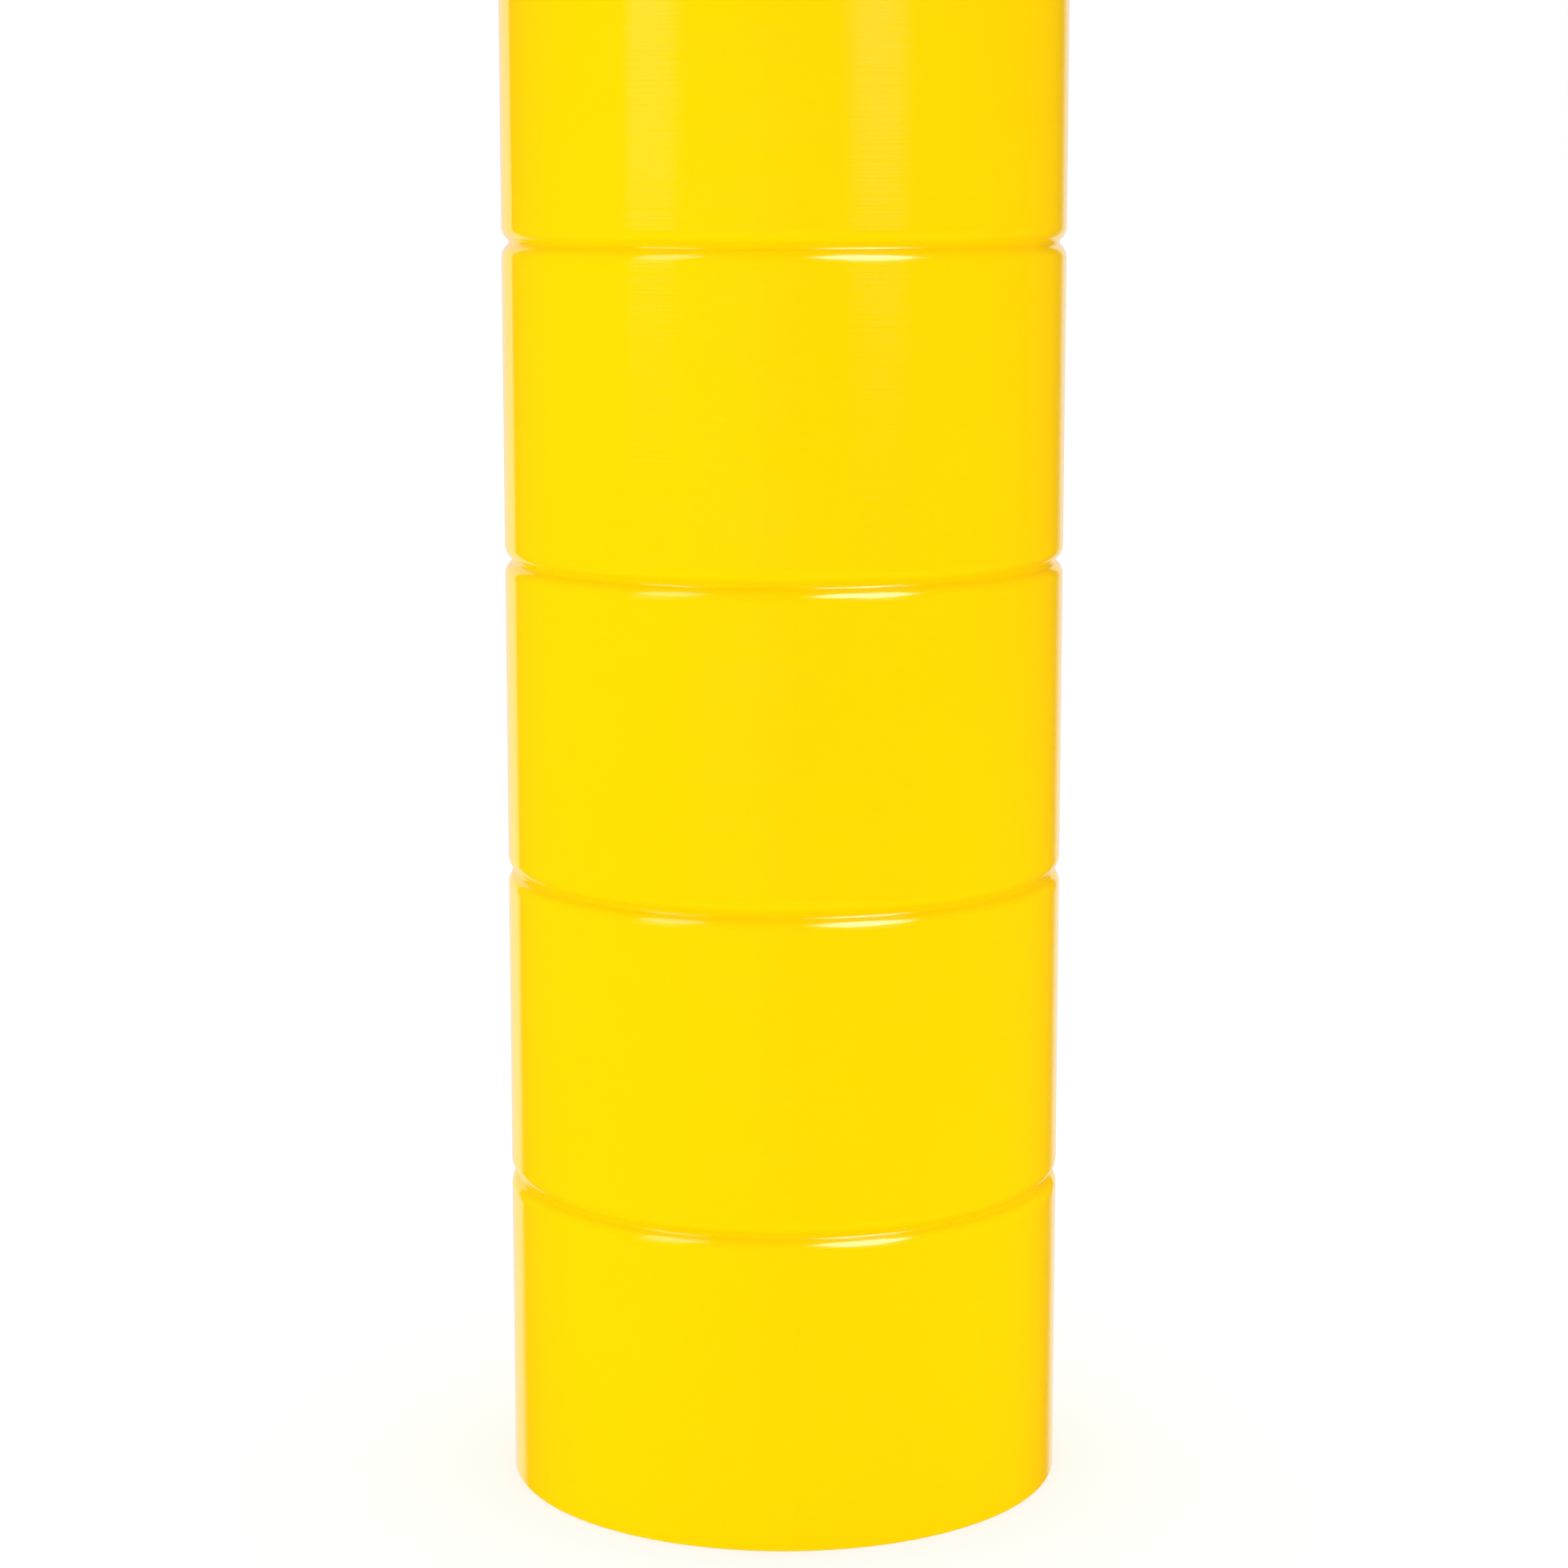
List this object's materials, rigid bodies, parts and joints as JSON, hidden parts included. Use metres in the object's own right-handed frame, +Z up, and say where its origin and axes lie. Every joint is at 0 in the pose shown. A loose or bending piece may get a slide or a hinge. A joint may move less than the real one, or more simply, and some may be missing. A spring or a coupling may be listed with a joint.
{
  "type": "safety bollard",
  "caption": "Cylindrical safety bollard: a grooved yellow plastic sleeve with a domed cap over a steel post with a hidden bolted base.",
  "frame": {"origin": "on the bollard's axis at floor level, the centre of the base plate's underside", "axes": "+Z up along the bollard's axis; +X through one anchor hole"},
  "size_m": [0.181, 0.181, 0.9144],
  "materials": {
    "yellow_plastic": "glossy, with fine turning marks round it",
    "post_steel": "satin grey primer over steel",
    "galvanised_steel": "hot-dip galvanised",
    "zinc_fastener": "bright zinc plated",
    "black_rubber": "matte moulded elastomer",
    "black_plastic": "matte moulded nylon",
    "grey_plastic": "matte extruded pipe"
  },
  "bodies": {
    "core": {"base_plate": "galvanised_steel", "post_tube": "post_steel", "post_top_plate": "post_steel", "gusset_plate_1": "post_steel", "gusset_plate_2": "post_steel", "gusset_plate_3": "post_steel", "gusset_plate_4": "post_steel", "weld_nut": "zinc_fastener", "support_collar": "zinc_fastener", "bumper_ring_lower": "black_rubber", "bumper_ring_middle": "black_rubber", "bumper_ring_upper": "black_rubber", "spacer_tube_lower": "grey_plastic", "spacer_tube_upper": "grey_plastic", "clamp_collar": "zinc_fastener", "clamp_screw": "zinc_fastener"},
    "foot": {"foot_ring": "black_plastic"},
    "sleeve": {"sleeve": "yellow_plastic"},
    "cap": {"cap": "yellow_plastic", "cap_hub": "yellow_plastic", "cap_seal": "black_rubber"},
    "cap_bolt": {"cap_bolt": "zinc_fastener", "bolt_washer": "zinc_fastener"},
    "cap_plug": {"cap_plug": "yellow_plastic"}
  },
  "joints": [
    {"name": "sleeve_turn", "type": "hinge", "parent": "core", "child": "foot", "pos_m": [0, 0, 0], "axis": [0, 0, 1], "continuous": true},
    {"name": "sleeve_lift", "type": "slide", "parent": "foot", "child": "sleeve", "axis": [0, 0, 1], "range_m": [0, 0.9]},
    {"name": "cap_lift", "type": "slide", "parent": "sleeve", "child": "cap", "axis": [0, 0, 1], "range_m": [0, 0.12]},
    {"name": "cap_bolt_turn", "type": "hinge", "parent": "cap", "child": "cap_bolt", "pos_m": [0, 0, 0.8765], "axis": [0, 0, 1], "continuous": true},
    {"name": "plug_lift", "type": "slide", "parent": "cap", "child": "cap_plug", "axis": [0, 0, 1], "range_m": [0, 0.06]}
  ]
}
